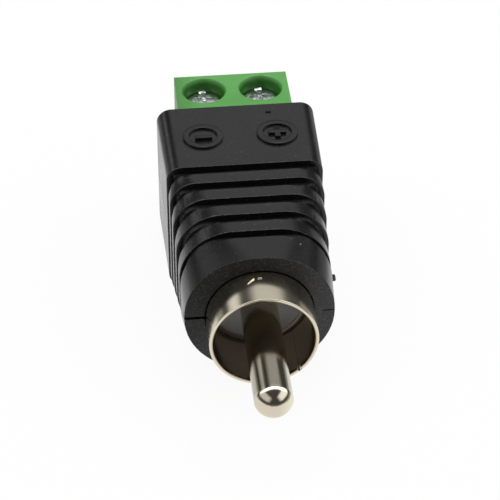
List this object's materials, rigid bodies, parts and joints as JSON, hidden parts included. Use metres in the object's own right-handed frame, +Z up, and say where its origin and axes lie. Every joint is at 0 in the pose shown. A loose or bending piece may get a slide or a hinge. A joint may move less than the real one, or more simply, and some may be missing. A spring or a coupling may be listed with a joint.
{
  "type": "rca plug",
  "caption": "Phono (RCA) plug with a hollow centre pin and a contact sleeve in a ribbed two-half housing, wired by rising-cage screw clamps in a terminal at the rear",
  "frame": {"origin": "on the surface under the plug, below the middle of its overall length and on its centre line", "axes": "-Y points out of the plug's tip, +Y is the way the wires come out, +Z is up and X runs across the two terminal ways, with minus on the -X side"},
  "size_m": [0.014, 0.0383, 0.0128],
  "materials": {
    "housing_black": "satin moulded black plastic",
    "nickel_sheet": "bright nickel plating on rolled sheet",
    "nickel_pin": "bright nickel plating on brass",
    "insulator_grey": "plain moulded grey plastic",
    "terminal_green": "satin moulded green plastic",
    "zinc_screw": "zinc plating on steel",
    "zinc_cage": "zinc plating on folded steel strip",
    "tinned_strip": "dull tin plating on brass",
    "solder": "smooth grey solder"
  },
  "bodies": {
    "plug": {"upper_housing": "housing_black", "lower_housing": "housing_black", "rca_sleeve": "nickel_sheet", "insulator": "insulator_grey", "center_pin": "nickel_pin", "terminal_body": "terminal_green", "contact_strip_minus": "tinned_strip", "contact_strip_plus": "tinned_strip", "lug_solder": "solder", "pin_solder": "solder"},
    "screw_minus": {"terminal_screw_minus": "zinc_screw"},
    "screw_plus": {"terminal_screw_plus": "zinc_screw"},
    "cage_minus": {"clamp_cage_minus": "zinc_cage"},
    "cage_plus": {"clamp_cage_plus": "zinc_cage"}
  },
  "joints": [
    {"name": "screw_minus_turn", "type": "hinge", "parent": "plug", "child": "screw_minus", "pos_m": [-0.00254, 0.01675, 0.011], "axis": [0, 0, -1], "range_deg": [0, 1440]},
    {"name": "screw_plus_turn", "type": "hinge", "parent": "plug", "child": "screw_plus", "pos_m": [0.00254, 0.01675, 0.011], "axis": [0, 0, -1], "range_deg": [0, 1440]},
    {"name": "cage_minus_lift", "type": "slide", "parent": "plug", "child": "cage_minus", "axis": [0, 0, 1], "range_m": [0, 0.0018]},
    {"name": "cage_plus_lift", "type": "slide", "parent": "plug", "child": "cage_plus", "axis": [0, 0, 1], "range_m": [0, 0.0018]}
  ],
  "couplings": [
    {"joint": "screw_minus_turn", "follows": "cage_minus_lift", "rad_per_m": 13963},
    {"joint": "screw_plus_turn", "follows": "cage_plus_lift", "rad_per_m": 13963}
  ]
}
